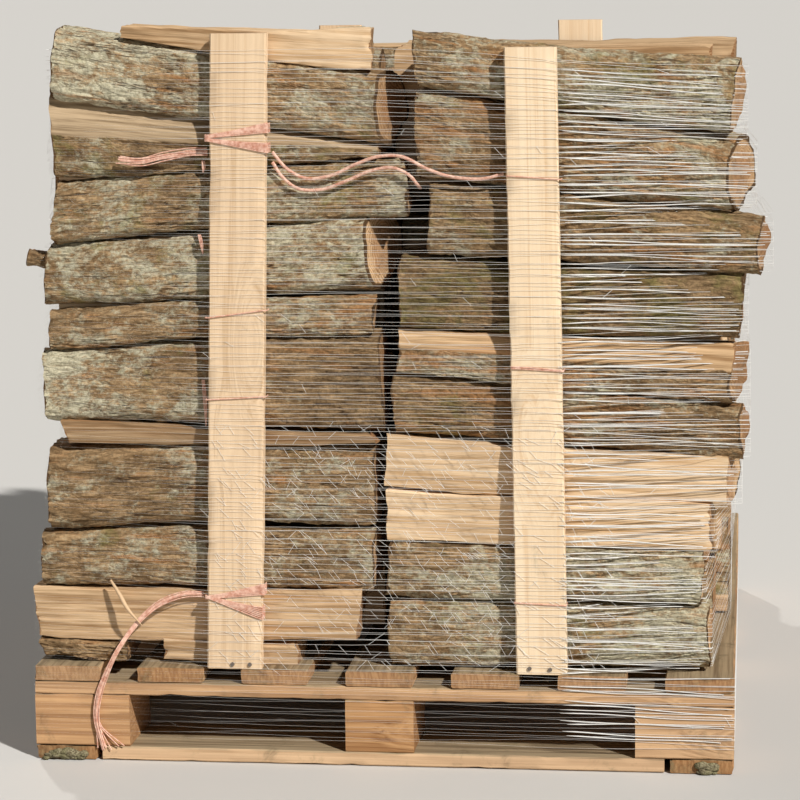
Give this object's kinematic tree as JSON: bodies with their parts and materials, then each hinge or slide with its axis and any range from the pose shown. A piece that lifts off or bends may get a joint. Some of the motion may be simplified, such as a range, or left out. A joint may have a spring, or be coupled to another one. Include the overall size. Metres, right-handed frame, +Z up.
{
  "type": "pallet of firewood",
  "caption": "Split firewood logs stacked in columns across a block pallet, held between upright slats and tied with twine under a net wrap.",
  "frame": {"origin": "middle of the pallet's underside", "axes": "+Z up, the front with the two leaning slats faces -Y, +X to the right of the front"},
  "size_m": [1.053, 1.2071, 1.0446],
  "materials": {
    "bark": "rough grey-brown bark with lichen",
    "split_wood": "raw split wood, fibrous",
    "slat_wood": "pale sawn wood, matte",
    "pallet_wood": "weathered sawn wood",
    "twine": "pink baler twine, slightly glossy",
    "net": "thin white knitted net, slightly glossy"
  },
  "bodies": {
    "root": {"bottom_board_left": "pallet_wood", "bottom_board_right": "pallet_wood", "bottom_board_front": "pallet_wood", "stringer_front": "pallet_wood", "block_front_left": "pallet_wood", "block_front_centre": "pallet_wood", "block_front_right": "pallet_wood", "bottom_board_middle": "pallet_wood", "stringer_middle": "pallet_wood", "block_middle_left": "pallet_wood", "block_middle_centre": "pallet_wood", "block_middle_right": "pallet_wood", "bottom_board_back": "pallet_wood", "stringer_back": "pallet_wood", "block_back_left": "pallet_wood", "block_back_centre": "pallet_wood", "block_back_right": "pallet_wood", "deck_board_1": "pallet_wood", "deck_board_2": "pallet_wood", "deck_board_3": "pallet_wood", "deck_board_4": "pallet_wood", "deck_board_5": "pallet_wood", "deck_board_6": "pallet_wood", "deck_board_7": "pallet_wood", "upright_front_left": "slat_wood", "upright_front_right": "slat_wood", "upright_back_left": "slat_wood", "upright_back_right": "slat_wood", "log_left_01": "bark", "log_left_02": "split_wood", "log_left_03": "split_wood", "log_left_04": "bark", "log_left_05": "bark", "log_left_06": "split_wood", "log_left_07": "bark", "log_left_08": "bark", "log_left_09": "bark", "log_left_10": "bark", "log_left_11": "split_wood", "log_left_12": "bark", "log_left_13": "split_wood", "log_right_01": "bark", "log_right_02": "bark", "log_right_03": "split_wood", "log_right_04": "split_wood", "log_right_05": "bark", "log_right_06": "split_wood", "log_right_07": "bark", "log_right_08": "bark", "log_right_09": "bark", "log_right_10": "bark", "stacked_logs_left": "bark", "stacked_logs_right": "bark", "twine_loop": "twine", "twine_cross_upper": "twine", "twine_cross_lower": "twine", "twine_tail": "twine"}
  },
  "joints": []
}
